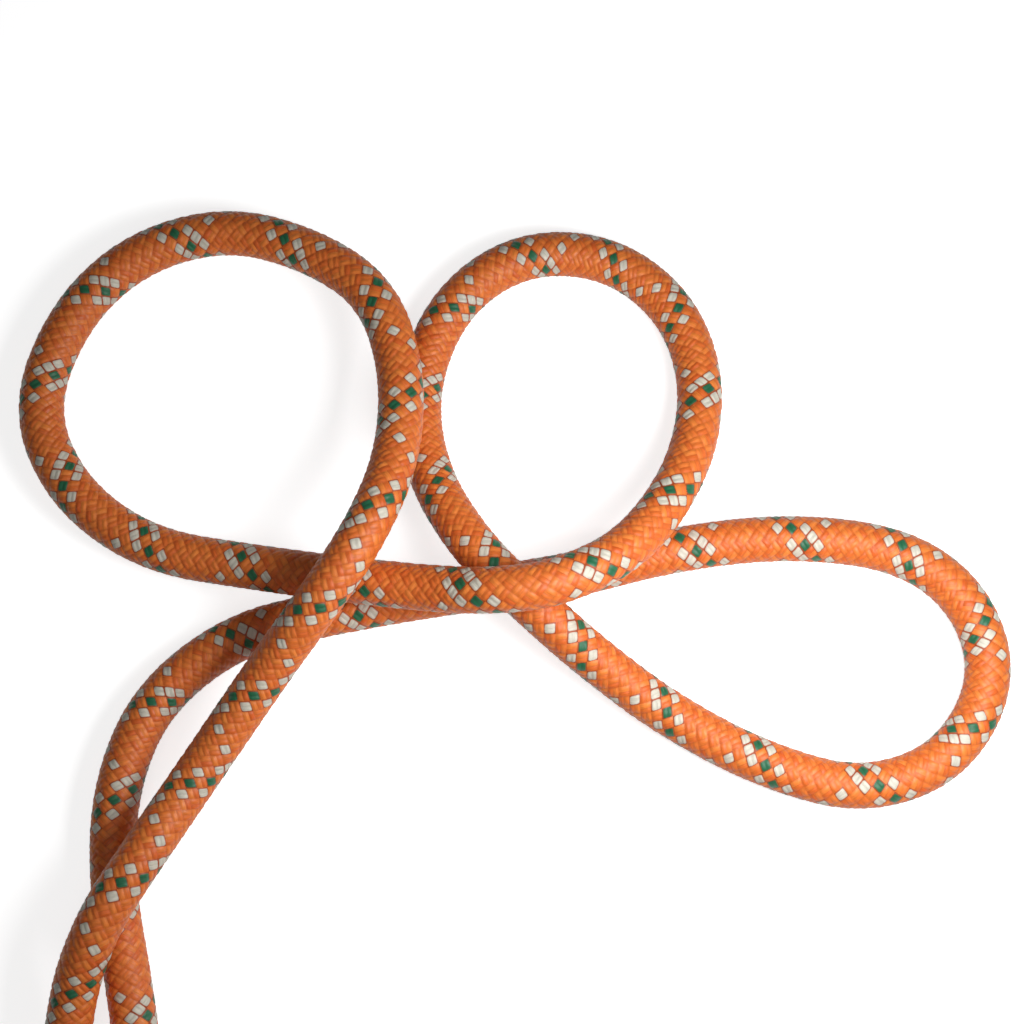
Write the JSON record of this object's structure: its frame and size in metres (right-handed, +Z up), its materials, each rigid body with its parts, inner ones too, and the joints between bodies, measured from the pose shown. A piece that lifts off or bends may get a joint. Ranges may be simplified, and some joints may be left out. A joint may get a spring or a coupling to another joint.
{
  "type": "dynamic climbing rope",
  "caption": "Braided climbing rope with a twisted core, laid in loose loops, the rest wound in a round coil with sleeved, sealed ends.",
  "frame": {"origin": "middle of the floor under the whole rope as it lies", "axes": "+Z up from the floor, +Y from the coil towards the loops, +X to the right when the loops are seen from above with the coil below them"},
  "size_m": [0.2433, 0.4114, 0.0438],
  "materials": {
    "sheath": "orange braided nylon with white and green tracer yarns, slightly silky",
    "core": "undyed twisted nylon yarn",
    "end_sleeve": "black shrunk sleeve, satin",
    "melted_end": "melted and set nylon, glossy and darkened"
  },
  "bodies": {
    "root": {"sheath_loops": "sheath", "core_loops": "core", "rope_coil": "sheath", "loose_end_sleeve": "end_sleeve", "coil_end_sleeve": "end_sleeve", "loose_end_tip": "melted_end", "coil_end_tip": "melted_end"}
  },
  "joints": []
}
